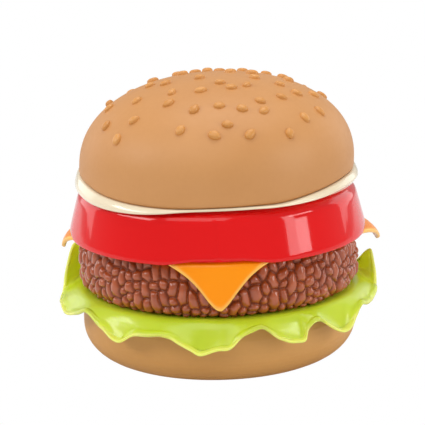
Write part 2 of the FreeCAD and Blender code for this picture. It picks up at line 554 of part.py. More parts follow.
# ---- lettuce ------------------------------------------------------------
EDGE = [(-84, 24.4), (-72, 23.3), (-56, 28.2), (-46, 24.3), (-37, 21.2), (-31, 24.6), (-25, 25.4), (-18, 25.4), (-14, 23.1),
        (-10, 20.6), (-7, 19.2), (-1, 21.3), (3, 21.4), (7, 25.3), (10, 27.0), (14, 28.2), (17, 26.5), (21, 23.0), (26, 21.4),
        (30, 21.2), (32, 24.9), (37, 27.6), (42, 23.6), (48, 20.2), (52, 20.4), (57, 23.9), (64, 26.3), (74, 25.0), (86, 26.5),
        (98, 23.5), (106, 27.5), (115, 22.5), (124, 27.0), (133, 21.0), (142, 26.5), (151, 22.0), (160, 26.8), (168, 25.6),
        (180, 27.6), (192, 25.6), (200, 26.6), (209, 21.4), (219, 27.4), (228, 22.4), (238, 27.2), (248, 23.0), (258, 26.8), (266, 25.0)]
EDGE = sorted([((a + 180.0) % 360.0 - 180.0, z) for a, z in EDGE])
LOBE = [(-180, 0.0), (-142, 0.0), (-130, 0.35), (-120, 0.75), (-112, 1.0), (-103, 1.0), (-98, 0.6), (-93, 0.05), (-86, 0.0), (-40, 0.0),
        (0, 0.0), (40, 0.0), (86, 0.0), (91, 0.05), (95.5, 0.6), (99, 1.0), (104, 1.0), (112, 0.55), (122, 0.1), (134, 0.0)]
LOBE_TOP = [(-180, 36.0), (-125, 37.5), (-115, 40.0), (-105, 44.6), (-96, 42.0), (0, 40.0), (95, 38.5), (100, 39.4), (106, 35.0), (116, 31.0)]


def side_reach(p):
    """The leaf reaches further out at the two sides."""
    return 1.0 + 0.34 * math.exp(-((abs(p) - 90.0) / 14.0) ** 2)


def leaf_path(p):
    ze, w, top = wave(EDGE, p), min(max(wave(LOBE, p), 0.0), 1.0), wave(LOBE_TOP, p)
    re = 68.4 - 0.42 * (ze - 24.0)
    rl = 68.4 if p < 0 else 70.2
    mid = LEAF_Z + LEAF_T / 2
    k = side_reach(p)
    fr = [(51.0, mid), (54.4, mid), (57.9, mid), (61.3, mid), (63.0, 0.82 * mid + 0.18 * ze), (64.4, 0.57 * mid + 0.43 * ze), (65.8, 0.3 * mid + 0.7 * ze), (67.0, ze + 0.9), (67.7, ze + 0.3), (re, ze)]
    fr = [(r if r <= 61.3 else 61.3 + (r - 61.3) * k, z) for r, z in fr]
    sd = [(51.0, mid), (54.4, mid), (57.9, mid), (61.3, mid), (63.8, 29.7), (66.0, 28.9), (rl - 0.6, 29.7), (rl + 0.2, 33.0), (rl, 0.5 * top + 17.5), (rl - 0.5, top)]
    return [((1 - w) * a[0] + w * b[0], (1 - w) * a[1] + w * b[1]) for a, b in zip(fr, sd)]


cols = []
for i in range(144):
    p = -180 + 2.5 * i
    cols.append([at(p, r, z) for r, z in offset_loop(leaf_path(p), LEAF_T)])
save(torus_solid(cols), "lettuce_leaf")

# ---- bottom bun ---------------------------------------------------------
def arc_pts(cx, cz, r, a0, a1, n):
    return [(cx + r * math.cos(math.radians(a0 + (a1 - a0) * i / n)), cz + r * math.sin(math.radians(a0 + (a1 - a0) * i / n))) for i in range(n + 1)]

of = arc_pts(BASE_R - FILLET, BASE_Z + FILLET, FILLET, -90, 0, 12)
inf = arc_pts(BASE_R - FILLET, BASE_Z + FILLET, FILLET - 2.5, -90, 0, 12)
prof = [(0.0, BASE_Z)] + of + [(60.4, 21.0), (59.6, 25.5), (58.9, BASE_RIM), (56.4, BASE_RIM), (57.1, 25.5), (57.9, 21.0)] + inf[::-1] + [(0.0, FLOOR)]
bun = revolve(prof)
parts = [bun]
for sx in (-1, 1):
    for sy in (-1, 1):
        parts.append(cyl(4.5, FLOOR - 0.5, LEAF_Z + 2.7, sx * POST_X, sy * POST_Y))
BALLAST = [(-18.0, -22.0), (18.0, -22.0)]
for x, y in BALLAST:
    parts.append(cyl(3.7, FLOOR - 0.5, 14.3, x, y))
RING_Y = 14.0
rb = cyl(18.5, FLOOR - 0.2, 8.0, 0, RING_Y).cut(cyl(16.9, FLOOR - 1, 9, 0, RING_Y))
parts.append(rb)
parts.append(box(-9.5, 9.5, 42.0, 51.0, FLOOR - 0.3, 9.5))
for s in (-1, 1):
    pad = box(-8.5, 8.5, 51.0, 60.0, JACK_Z - 5.0, JACK_Z + 5.0).cut(box(-7.0, 7.0, 50.0, 55.6, JACK_Z - 3.5, JACK_Z + 3.5))
    pad = pad.common(cyl(58.6, 0, 40))
    pad.rotate(V(0, 0, 0), V(0, 0, 1), s * 30)
    parts.append(pad)
bun = fuse(parts)
holes = []
for a in range(4):
    x, y = FOOT_AT * math.cos(a * math.pi / 2), FOOT_AT * math.sin(a * math.pi / 2)
    holes.append(cyl(FOOT_R, BASE_Z - 1, BASE_Z + 0.8, x, y))
for sx in (-1, 1):
    for sy in (-1, 1):
        holes += [cyl(3.3, BASE_Z - 1, 22.0, sx * POST_X, sy * POST_Y), cyl(1.7, 20.0, LEAF_Z + 4, sx * POST_X, sy * POST_Y)]
for x, y in BALLAST:
    holes.append(cyl(1.5, 5.0, 15.0, x, y))
for k in range(7):
    a = 2 * math.pi * k / 6
    rr = 0 if k == 6 else 6.0
    holes.append(cyl(1.3, 0, FLOOR + 1, rr * math.cos(a), RING_Y + rr * math.sin(a)))
# rear window for the line jack, and slots for the two slide switches
holes.append(box(-7.2, 7.2, 54.0, 66.0, JACK_Z - 5.2, JACK_Z + 5.2))
for s in (-1, 1):
    sl = box(-4.0, 4.0, 50.0, 66.0, JACK_Z - 1.7, JACK_Z + 1.7)
    sl.rotate(V(0, 0, 0), V(0, 0, 1), s * 30)
    holes.append(sl)
bun = cut(bun, holes)
save(bun, "bottom_bun_shell")

# ---- line jack ----------------------------------------------------------
jack = box(-7.5, 7.5, 44.0, 55.4, 9.5, JACK_Z + 5.6).fuse(box(-6.9, 6.9, 55.0, 60.0, JACK_Z - 4.9, JACK_Z + 4.9))
jack = jack.cut(box(-4.95, 4.95, 46.5, 61.0, JACK_Z - 3.4, JACK_Z + 3.4))
jack = jack.cut(box(-3.1, 3.1, 46.5, 61.0, JACK_Z - 4.6, JACK_Z))
save(jack, "line_jack")
con = [box(-2.75 + 1.02 * i, -2.35 + 1.02 * i, 47.2, 55.0, JACK_Z + 2.9, JACK_Z + 3.3) for i in (1, 2, 3, 4)]
con = [fuse([c, box(c.BoundBox.XMin, c.BoundBox.XMax, 46.5, 47.4, JACK_Z + 0.6, JACK_Z + 3.3)]) for c in con]
save(Part.makeCompound(con), "jack_contacts")

# ---- slide switches on the back of the bottom bun -----------------------
for s, n in ((-1, "tone_pulse"), (1, "ringer_volume")):
    b = box(-7.0, 7.0, 50.2, 55.6, JACK_Z - 3.5, JACK_Z + 3.5).cut(box(-4.2, 4.2, 51.6, 56.0, JACK_Z - 1.9, JACK_Z + 1.9))
    k = fuse([box(-3.6, 0.4, 51.9, 54.9, JACK_Z - 1.5, JACK_Z + 1.5), box(-2.6, -0.6, 54.0, 61.6, JACK_Z - 1.2, JACK_Z + 1.2)])
    for sh, nn in ((b, n + "_switch"), (k, n + "_slider")):
        sh.rotate(V(0, 0, 0), V(0, 0, 1), s * 30)
        save(sh, nn)

# ---- ringer, ballast, feet, screws, leads -------------------------------
save(cyl(16.8, FLOOR + 2.0, FLOOR + 2.4, 0, RING_Y).fuse(cyl(12.0, FLOOR + 2.4, FLOOR + 2.7, 0, RING_Y)), "ringer_disc")
save(cyl(16.8, FLOOR, FLOOR + 2.0, 0, RING_Y).cut(cyl(15.0, FLOOR - 1, FLOOR + 3, 0, RING_Y)), "ringer_ring")
bal = rbox(-27.0, 27.0, -39.0, -6.0, FLOOR + 1.0, 14.5, 3.0)
for x, y in BALLAST:
    bal = bal.cut(cyl(3.9, 0, 20, x, y))
bal = bal.cut(cyl(6.5, 0, 20, 0, -40))
save(bal, "ballast_weight")
save(Part.makeCompound([screw(x, y, 14.5, 5.6, 1.6, 1.5, 9.0, up=False) for x, y in BALLAST]), "ballast_screws")
feet = [cyl(FOOT_R, 0.0, BASE_Z + 0.8, FOOT_AT * math.cos(a * math.pi / 2), FOOT_AT * math.sin(a * math.pi / 2)) for a in range(4)]
save(Part.makeCompound(feet), "rubber_feet")
cs = [screw(sx * POST_X, sy * POST_Y, 22.0, 3.0, 2.2, 1.5, 22.0) for sx in (-1, 1) for sy in (-1, 1)]
save(Part.makeCompound(cs), "case_screws")
save(tube([(3.0, 43.95, 17.0), (3.0, 38.5, 17.0), (14.0, 36.0, 34.0), (15.0, 38.0, 50.0), (15.0, 38.0, BL - 0.1)], 1.1), "line_lead")
save(tube([(0.0, RING_Y, FLOOR + 2.75), (0.0, RING_Y, 11.0), (-10.0, 18.0, 24.0), (-12.0, 26.0, 44.0), (-12.0, 27.0, BL - 0.1)], 0.8), "ringer_lead")
save(tube([(-15.5, 62.2, 73.96), (-15.5, 57.0, 70.58), (-15.5, 53.5, 68.3), (-15.0, 50.3, 64.0), (-13.0, 46.0, 60.5), (-12.0, 43.0, 61.0), (-12.0, 43.0, BL - 0.05)], 0.9), "hinge_lead")
print("done")
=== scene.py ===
import bpy
import math
import numpy as np
from mathutils import Vector, Matrix


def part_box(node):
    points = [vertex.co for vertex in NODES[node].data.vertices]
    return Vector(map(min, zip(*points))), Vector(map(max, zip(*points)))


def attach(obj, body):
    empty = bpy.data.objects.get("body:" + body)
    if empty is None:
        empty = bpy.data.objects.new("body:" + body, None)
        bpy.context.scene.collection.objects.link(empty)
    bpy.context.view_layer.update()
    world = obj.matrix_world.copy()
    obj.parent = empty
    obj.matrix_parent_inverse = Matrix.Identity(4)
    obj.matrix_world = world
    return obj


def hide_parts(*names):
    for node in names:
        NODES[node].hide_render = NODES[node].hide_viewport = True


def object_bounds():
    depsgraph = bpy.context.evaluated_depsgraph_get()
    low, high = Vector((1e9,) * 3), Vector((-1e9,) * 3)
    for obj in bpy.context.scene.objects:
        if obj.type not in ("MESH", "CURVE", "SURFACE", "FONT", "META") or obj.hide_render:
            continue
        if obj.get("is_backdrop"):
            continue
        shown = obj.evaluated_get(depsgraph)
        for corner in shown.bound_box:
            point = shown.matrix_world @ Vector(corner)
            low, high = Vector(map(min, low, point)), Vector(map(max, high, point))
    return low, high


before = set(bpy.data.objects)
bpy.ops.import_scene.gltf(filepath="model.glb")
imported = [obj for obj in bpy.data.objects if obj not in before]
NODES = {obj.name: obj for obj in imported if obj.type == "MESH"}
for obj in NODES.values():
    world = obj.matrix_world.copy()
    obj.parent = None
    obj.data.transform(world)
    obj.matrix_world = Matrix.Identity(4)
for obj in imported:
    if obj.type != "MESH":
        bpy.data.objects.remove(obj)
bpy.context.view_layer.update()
MM = 0.001
rng = np.random.default_rng(7)

# ------------------------------------------------------------------ sizes, mm
BUN_R, BUN_H, BUN_Z0, BUN_N, BUN_WALL, LEAN = 59.8, 37.6, 85.2, 2.2, 2.6, 0.050
SEAM, PLATE_T = 76.0, 2.4
FACE_TOP = SEAM - 2.2
CHEESE_Z, CHEESE_T = 54.0, 1.8
PATTY_Z0, PATTY_Z1 = 31.0, 54.0
LEAF_Z, LEAF_T = 29.2, 1.8
KEY_TOP = SEAM - 0.6
KEY_PX, KEY_PY, KEY_Y0 = 15.0, 11.5, -18.5


def wave(table, phi):
    """Smooth periodic interpolation of (azimuth, value) pairs, on arrays."""
    phi = (np.asarray(phi, float) + 180.0) % 360.0 - 180.0
    xs = np.array([t[0] for t in table], float)
    ys = np.array([t[1] for t in table], float)
    X = np.concatenate([xs[-2:] - 360, xs, xs[:3] + 360])
    Y = np.concatenate([ys[-2:], ys, ys[:3]])
    i = np.clip(np.searchsorted(X, phi, side="right") - 1, 1, len(X) - 3)
    x0, x1, x2, x3 = X[i - 1], X[i], X[i + 1], X[i + 2]
    y0, y1, y2, y3 = Y[i - 1], Y[i], Y[i + 1], Y[i + 2]
    t = (phi - x1) / (x2 - x1)
    m1 = (y2 - y0) / (x2 - x0) * (x2 - x1)
    m2 = (y3 - y1) / (x3 - x1) * (x2 - x1)
    return ((2 * t**3 - 3 * t**2 + 1) * y1 + (t**3 - 2 * t**2 + t) * m1
            + (-2 * t**3 + 3 * t**2) * y2 + (t**3 - t**2) * m2)


def smooth(a, b, x):
    t = np.clip((np.asarray(x, float) - a) / (b - a), 0, 1)
    return t * t * (3 - 2 * t)


def polar(phi, r, z):
    a = np.radians(phi)
    return np.stack([r * np.sin(a), -r * np.cos(a), z], axis=-1)


def fade_noise(seed, n, k):
    """Periodic smooth random curve of n samples with about k waves, -1..1."""
    g = np.random.default_rng(seed)
    x = np.linspace(0, 2 * np.pi, n, endpoint=False)
    y = np.zeros(n)
    for j in range(1, k + 1):
        y += g.normal() * np.cos(j * x + g.uniform(0, 6.28)) / math.sqrt(k)
    return y / max(1e-9, np.abs(y).max())


def grid_mesh(name, P, close_u=True, close_v=False, painted_light_and_shade=None):
    """Mesh from a grid of points P[u, v, 3] in mm."""
    nu, nv = P.shape[:2]
    idx = np.arange(nu * nv).reshape(nu, nv)
    iu = np.arange(nu if close_u else nu - 1)
    iv = np.arange(nv if close_v else nv - 1)
    U, W = np.meshgrid(iu, iv, indexing="ij")
    a = idx[U, W]
    b = idx[(U + 1) % nu, W]
    c = idx[(U + 1) % nu, (W + 1) % nv]
    d = idx[U, (W + 1) % nv]
    faces = np.stack([a, b, c, d], axis=-1).reshape(-1, 4)
    me = bpy.data.meshes.new(name)
    me.from_pydata((P.reshape(-1, 3) * MM).tolist(), [], faces.tolist())
    return finish_mesh(name, me, painted_light_and_shade)


def finish_mesh(name, me, painted_light_and_shade=None):
    me.validate()
    me.update()
    # painted light and shade: a per-vertex mask that mixes the base colour toward painted highlights or painted shade
    if painted_light_and_shade is not None:
        at = me.color_attributes.new(name="painted_light_and_shade", type="FLOAT_COLOR", domain="POINT")
        t = np.zeros((len(me.vertices), 4), float)
        t[:, 0:3] = np.asarray(painted_light_and_shade, float).reshape(-1, 1)
        t[:, 3] = 1
        at.data.foreach_set("color", t.ravel())
    ob = bpy.data.objects.new(name, me)
    bpy.context.scene.collection.objects.link(ob)
    for p in me.polygons:
        p.use_smooth = True
    return ob


def outward(ob):
    import bmesh
    bm = bmesh.new()
    bm.from_mesh(ob.data)
    bmesh.ops.recalc_face_normals(bm, faces=bm.faces)
    bm.to_mesh(ob.data)
    bm.free()
    return ob


# ------------------------------------------------------------------ materials
def lin(r, g, b):
    def f(c):
        c = c / 255.0
        return c / 12.92 if c <= 0.04045 else ((c + 0.055) / 1.055) ** 2.4
    return (f(r), f(g), f(b), 1.0)


def ramp(nt, fac, stops):
    n = nt.nodes.new("ShaderNodeValToRGB")
    while len(n.color_ramp.elements) < len(stops):
        n.color_ramp.elements.new(0.5)
    for e, (p, c) in zip(n.color_ramp.elements, stops):
        e.position = p
        e.color = c
    nt.links.new(fac, n.inputs["Fac"])
    return n.outputs["Color"]


def noise(nt, scale, detail=3.0, rough=0.5, vec=None, distort=0.0):
    n = nt.nodes.new("ShaderNodeTexNoise")
    n.inputs["Scale"].default_value = scale
    n.inputs["Detail"].default_value = detail
    n.inputs["Roughness"].default_value = rough
    n.inputs["Distortion"].default_value = distort
    nt.links.new(vec if vec is not None else coords(nt), n.inputs["Vector"])
    return n.outputs["Fac"]


def coords(nt):
    for n in nt.nodes:
        if n.type == "TEX_COORD":
            return n.outputs["Object"]
    return nt.nodes.new("ShaderNodeTexCoord").outputs["Object"]


def mixc(nt, fac, a, b, mode="MIX"):
    n = nt.nodes.new("ShaderNodeMix")
    n.data_type = "RGBA"
    n.blend_type = mode
    for sock, v in ((n.inputs["Factor"], fac), (n.inputs["A"], a), (n.inputs["B"], b)):
        if hasattr(v, "links") or hasattr(v, "is_linked"):
            nt.links.new(v, sock)
        else:
            sock.default_value = v
    return n.outputs["Result"]


def mathn(nt, op, a, b=None, clamp=False):
    n = nt.nodes.new("ShaderNodeMath")
    n.operation = op
    n.use_clamp = clamp
    for i, v in enumerate((a, b)):
        if v is None:
            continue
        if hasattr(v, "is_linked"):
            nt.links.new(v, n.inputs[i])
        else:
            n.inputs[i].default_value = v
    return n.outputs[0]


# reads the per-vertex painted light and shade mask
def painted_light_and_shade_of(nt):
    n = nt.nodes.new("ShaderNodeVertexColor")
    n.layer_name = "painted_light_and_shade"
    return n.outputs["Color"]


def material(name, rough=0.4, coat=0.0, coat_rough=0.05, spec=0.5, metal=0.0, sss=0.0, sss_col=(1, 0.5, 0.2), sss_scale=0.004, ior=1.5):
    m = bpy.data.materials.new(name)
    m.use_nodes = True
    nt = m.node_tree
    b = nt.nodes["Principled BSDF"]
    b.inputs["Roughness"].default_value = rough
    b.inputs["Metallic"].default_value = metal
    b.inputs["Specular IOR Level"].default_value = spec
    b.inputs["IOR"].default_value = ior
    b.inputs["Coat Weight"].default_value = coat
    b.inputs["Coat Roughness"].default_value = coat_rough
    if sss:
        b.inputs["Subsurface Weight"].default_value = sss
        b.inputs["Subsurface Radius"].default_value = sss_col
        b.inputs["Subsurface Scale"].default_value = sss_scale
    return m, nt, b


def bump(nt, b, height, strength, dist):
    n = nt.nodes.new("ShaderNodeBump")
    n.inputs["Strength"].default_value = strength
    n.inputs["Distance"].default_value = dist
    nt.links.new(height, n.inputs["Height"])
    nt.links.new(n.outputs["Normal"], b.inputs["Normal"])


def bun_material(name, a, c):
    m, nt, b = material(name, rough=0.46, spec=0.45)
    big = noise(nt, 22.0, 2.0, 0.5)
    fine = noise(nt, 420.0, 3.0, 0.6)
    col = ramp(nt, big, [(0.30, lin(*a)), (0.70, lin(*c))])
    col = mixc(nt, mathn(nt, "MULTIPLY", fine, 0.10), col, lin(a[0] * 0.8, a[1] * 0.76, a[2] * 0.7))
    nt.links.new(col, b.inputs["Base Color"])
    r = mathn(nt, "MULTIPLY_ADD", fine, 0.14)
    nt.nodes[-1].inputs[2].default_value = 0.43
    nt.links.new(r, b.inputs["Roughness"])
    bump(nt, b, fine, 0.12, 0.0003)
    return m


M_BUN = bun_material("bun_crust", (195, 136, 77), (203, 145, 87))
M_BASE = bun_material("bun_base_crust", (206, 148, 78), (212, 155, 86))

M_SEED, nt, b = material("seed_plastic", rough=0.38, spec=0.45)
nt.links.new(ramp(nt, noise(nt, 90.0, 2.0), [(0.35, lin(200, 136, 66)), (0.7, lin(212, 150, 80))]), b.inputs["Base Color"])
bump(nt, b, noise(nt, 600.0, 2.0), 0.10, 0.0002)

M_CREAM, nt, b = material("cream_gloss", rough=0.16, coat=0.5, coat_rough=0.06, sss=0.0)
nt.links.new(ramp(nt, noise(nt, 30.0, 2.0), [(0.35, lin(232, 216, 184)), (0.7, lin(240, 226, 196))]), b.inputs["Base Color"])
bump(nt, b, noise(nt, 260.0, 2.0), 0.04, 0.0003)

M_RED, nt, b = material("tomato_gloss", rough=0.10, coat=0.36, coat_rough=0.02, spec=0.2)
nt.links.new(ramp(nt, noise(nt, 14.0, 2.0), [(0.3, lin(220, 3, 5)), (0.7, lin(225, 6, 8))]), b.inputs["Base Color"])
bump(nt, b, noise(nt, 45.0, 2.0), 0.05, 0.0006)

M_CHEESE, nt, b = material("cheese_gloss", rough=0.26, coat=0.1, coat_rough=0.08, spec=0.25)
c1 = ramp(nt, noise(nt, 26.0, 2.0), [(0.3, lin(252, 144, 0)), (0.7, lin(254, 149, 0))])
# painted highlight: the cut edges of the slice are mixed toward a lighter yellow
nt.links.new(mixc(nt, painted_light_and_shade_of(nt), c1, lin(255, 196, 92)), b.inputs["Base Color"])
bump(nt, b, noise(nt, 120.0, 2.0), 0.05, 0.0004)

M_PATTY, nt, b = material("patty_satin", rough=0.24, coat=0.55, coat_rough=0.06, spec=0.5)
pn = noise(nt, 130.0, 4.0, 0.6)
c1 = ramp(nt, pn, [(0.30, lin(158, 70, 30)), (0.70, lin(184, 90, 44))])
# painted shade: the grooves between the meat strands are mixed toward deep brown; coat and specular follow the same
# mask
c2 = mixc(nt, painted_light_and_shade_of(nt), lin(84, 32, 16), c1)
nt.links.new(c2, b.inputs["Base Color"])
painted_light_and_shade = painted_light_and_shade_of(nt)
nt.links.new(mathn(nt, "MULTIPLY", painted_light_and_shade, 0.55), b.inputs["Coat Weight"])
nt.links.new(mathn(nt, "MULTIPLY", painted_light_and_shade, 0.5), b.inputs["Specular IOR Level"])
bump(nt, b, noise(nt, 900.0, 3.0, 0.6), 0.10, 0.0002)

M_LEAF, nt, b = material("lettuce_gloss", rough=0.26, coat=0.2, coat_rough=0.08, spec=0.4, sss=0.75, sss_col=(0.9, 1.0, 0.25), sss_scale=0.008)
c1 = ramp(nt, noise(nt, 34.0, 3.0), [(0.30, lin(182, 214, 36)), (0.70, lin(196, 224, 48))])
# painted highlight on the leaf edges and painted light on the side lobes: both mixed toward a lighter yellow-green
nt.links.new(mixc(nt, painted_light_and_shade_of(nt), c1, lin(222, 238, 110)), b.inputs["Base Color"])
bump(nt, b, noise(nt, 70.0, 2.0), 0.12, 0.0006)


def plain(name, rgb, rough, metal=0.0, coat=0.0, var=0.06, scale=180.0, bumpy=0.05, rgb2=None):
    m, nt, b = material(name, rough=rough, metal=metal, coat=coat)
    a = lin(*rgb)
    c = lin(*(rgb2 or [min(255, v * (1 + var) + 4 * var) for v in rgb]))
    f = noise(nt, scale, 3.0)
    nt.links.new(ramp(nt, f, [(0.3, a), (0.7, c)]), b.inputs["Base Color"])
    if bumpy:
        bump(nt, b, noise(nt, scale * 3, 2.0), bumpy, 0.0002)
    return m


PLAIN = {
    "key": plain("key_cap", (238, 232, 214), 0.28, coat=0.2),
    "black": plain("black_satin", (26, 26, 27), 0.42, var=0.3),
    "grey": plain("jack_plastic", (62, 63, 66), 0.45, var=0.2),
    "gold": plain("gold_contact", (214, 168, 82), 0.25, metal=1.0),
    "steel": plain("zinc_steel", (176, 178, 182), 0.32, metal=1.0, var=0.12, scale=400.0),
    "film": plain("cone_film", (196, 188, 160), 0.4),
    "magnet": plain("ferrite", (70, 70, 74), 0.6),
    "nylon": plain("white_nylon", (232, 232, 226), 0.45),
    "foam": plain("foam_ring", (48, 48, 50), 0.95, var=0.5, scale=900.0, bumpy=0.6),
    "rubber": plain("foot_rubber", (24, 24, 24), 0.85, var=0.3, bumpy=0.2),
    "mat": plain("silicone_mat", (158, 160, 160), 0.6),
    "board": plain("solder_mask", (26, 92, 44), 0.3, coat=0.4, var=0.25, scale=260.0),
    "chip": plain("chip_epoxy", (20, 20, 21), 0.55, var=0.3),
    "cap": plain("sleeve_blue", (34, 58, 140), 0.3),
    "tape": plain("winding_tape", (206, 172, 62), 0.45),
    "wire_red": plain("wire_red", (184, 32, 26), 0.4),
    "wire_grey": plain("wire_grey", (120, 122, 126), 0.45),
    "ink": plain("key_ink", (44, 44, 48), 0.6),
}

NODE_MAT = {
    "earpiece_plate": M_CREAM, "tomato_housing": M_RED, "bottom_bun_shell": M_BASE, "top_bun_shell": M_BUN,
    "cheese_slice": M_CHEESE, "patty_shell": M_PATTY, "lettuce_leaf": M_LEAF,
}
for n in ("hook_plunger", "hook_switch_body", "tone_pulse_switch", "ringer_volume_switch", "tone_pulse_slider", "ringer_volume_slider", "receiver_frame"):
    NODE_MAT[n] = PLAIN["black"]
for n in ("hinge_pin", "lid_screws", "case_screws", "board_screws", "ballast_screws", "receiver_screws", "ballast_weight", "hook_spring", "microphone_capsule"):
    NODE_MAT[n] = PLAIN["steel"]
NODE_MAT.update({"line_jack": PLAIN["grey"], "jack_contacts": PLAIN["gold"], "ringer_disc": PLAIN["gold"], "receiver_diaphragm": PLAIN["film"],
                 "receiver_magnet": PLAIN["magnet"], "receiver_clamp": PLAIN["nylon"], "receiver_gasket": PLAIN["foam"], "rubber_feet": PLAIN["rubber"],
                 "microphone_grommet": PLAIN["rubber"], "keypad_mat": PLAIN["mat"], "circuit_board": PLAIN["board"], "dialer_chip": PLAIN["chip"],
                 "speech_chip": PLAIN["chip"], "bridge_diodes": PLAIN["chip"], "filter_capacitors": PLAIN["cap"], "line_transformer": PLAIN["tape"],
                 "ringer_ring": PLAIN["nylon"], "receiver_lead": PLAIN["wire_red"], "hinge_lead": PLAIN["wire_red"], "line_lead": PLAIN["wire_grey"],
                 "ringer_lead": PLAIN["wire_grey"], "microphone_lead": PLAIN["wire_grey"]})
for name, ob in NODES.items():
    m = PLAIN["key"] if name.startswith("key_") else NODE_MAT[name]
    if not ob.data.materials:
        ob.data.materials.append(m)
    for s in ob.material_slots:
        s.material = m

# ------------------------------------------------------------------ outlines
RIM = [(-165, 83.0), (-140, 83.6), (-115, 83.4), (-90, 82.4), (-70, 80.6), (-56, 78.6), (-40, 77.1),
       (-20, 76.4), (0, 76.9), (14, 77.1), (26, 77.1), (40, 78.7), (52, 80.2), (64, 81.4), (80, 82.2),
       (105, 83.4), (135, 83.6), (160, 83.2)]


# ------------------------------------------------------------------ top bun
def bun_surface(phi, t, wall):
    """t from 0 at the widest level to 1 at the crown."""
    a, h = BUN_R - wall, BUN_H - wall
    th = t * np.pi / 2
    r = a * np.cos(th) ** (2 / BUN_N)
    z = BUN_Z0 + h * np.sin(th) ** (2 / BUN_N)
    return r, z


def make_bun():
    NU, NT = 256, 64
    phi = np.linspace(-180, 180, NU, endpoint=False)
    rim = wave(RIM, phi)
    und = fade_noise(3, NU, 5) * 0.25
    rows, tones = [], []
    # wall from the rim up to the widest level
    for k in range(9):
        f = k / 9.0
        # rounded lower lip
        z = rim + (np.maximum(BUN_Z0, rim + 1.0) - rim) * f
        lip = 1.1 * np.clip(1 - (z - rim) / 1.2, 0, 1) ** 2
        r = BUN_R + 0.2 * np.clip((BUN_Z0 - z) / 9.0, 0, 1) - lip
        rows.append((r, z))
    z_top = np.maximum(BUN_Z0, rim + 1.0)
    # the dome starts just above where the wall stops
    t0 = np.arcsin(np.clip((z_top - BUN_Z0) / BUN_H, 0, 1) ** (BUN_N / 2)) / (np.pi / 2)
    for k in range(NT):
        s = k / (NT - 1.0)
        t = t0 + (1 - t0) * (1 - (1 - s) ** 1.25) * 0.998
        r, z = bun_surface(phi, t, 0.0)
        rows.append((r + und * np.sin(np.pi * np.clip(s, 0, 1)) , z + 0.0 * r))
    outer = rows
    inner = []
    for r, z in outer[::3]:
        inner.append((np.maximum(r - BUN_WALL, 0.05), np.where(z > BUN_Z0 + 4, z - BUN_WALL * np.clip((z - BUN_Z0) / BUN_H, 0, 1), z)))
    inner[0] = (outer[0][0] - 1.6, outer[0][1] + 0.02)
    loop = inner[::-1] + outer
    P = np.stack([polar(phi, r, z) for r, z in loop], axis=1)
    P[..., 0] += LEAN * (P[..., 2] - (BUN_Z0 - 5.0))
    ob = grid_mesh("bun_crown", P)
    # close the two tiny poles
    import bmesh
    bm = bmesh.new()
    bm.from_mesh(ob.data)
    bm.verts.ensure_lookup_table()
    edges = [e for e in bm.edges if e.is_boundary]
    bmesh.ops.holes_fill(bm, edges=edges, sides=0)
    bmesh.ops.recalc_face_normals(bm, faces=bm.faces)
    bm.to_mesh(ob.data)
    bm.free()
    for p in ob.data.polygons:
        p.use_smooth = True
    ob.data.materials.append(M_BUN)
    return ob


SEEDS = [(-46.2, -9.6, 20), (-46.3, -25.3, 25), (-40.9, -37.8, 60), (-34.0, -35.4, 10), (-33.5, -21.5, 30),
         (-28.0, 13.3, 20), (-28.6, -6.4, 20), (-21.6, -11.1, 20), (-18.5, -24.9, 60), (-19.6, -33.8, 25),
         (-17.1, 15.9, 25), (-14.5, 8.6, 5), (-9.0, 20.0, 5), (-3.5, 14.6, 5), (-6.9, -10.2, 0), (-6.2, -27.8, 5),
         (-8.7, -41.5, 60), (-14.2, -49.7, 45), (2.0, 22.9, 0), (6.5, 4.2, 0), (1.9, -20.1, -10), (6.5, -25.7, 0),
         (1.6, -40.5, -5), (4.9, -49.9, -10), (-0.1, -53.7, -30), (11.9, 16.8, -5), (15.6, 1.9, -5),
         (16.3, -9.6, -10), (12.9, -21.8, 60), (10.7, -41.8, -10), (18.0, -35.2, -15), (19.5, -40.7, 50),
         (13.9, -52.2, 60), (22.2, 18.4, -5), (29.0, 10.4, -10), (30.9, 0.7, -10), (26.6, -14.0, -10),
         (26.8, -28.0, -20), (33.5, -19.0, -15), (41.1, -10.3, -10), (36.0, -35.5, -45), (42.7, -24.9, -30),
         (29.6, -46.4, -60), (-38.0, 22.0, 40), (-30.0, 34.0, 10), (-16.0, 30.0, 70), (-20.0, 46.0, 30),
         (-5.0, 38.0, 15), (2.0, 50.0, -20), (10.0, 31.0, 50), (16.0, 43.0, -30), (27.0, 31.0, 10),
         (34.0, 40.0, -50), (39.0, 22.0, 60), (46.0, 10.0, -10), (-47.0, 6.0, 80), (-41.0, 38.0, 20), (-8.0, 53.0, 60)]


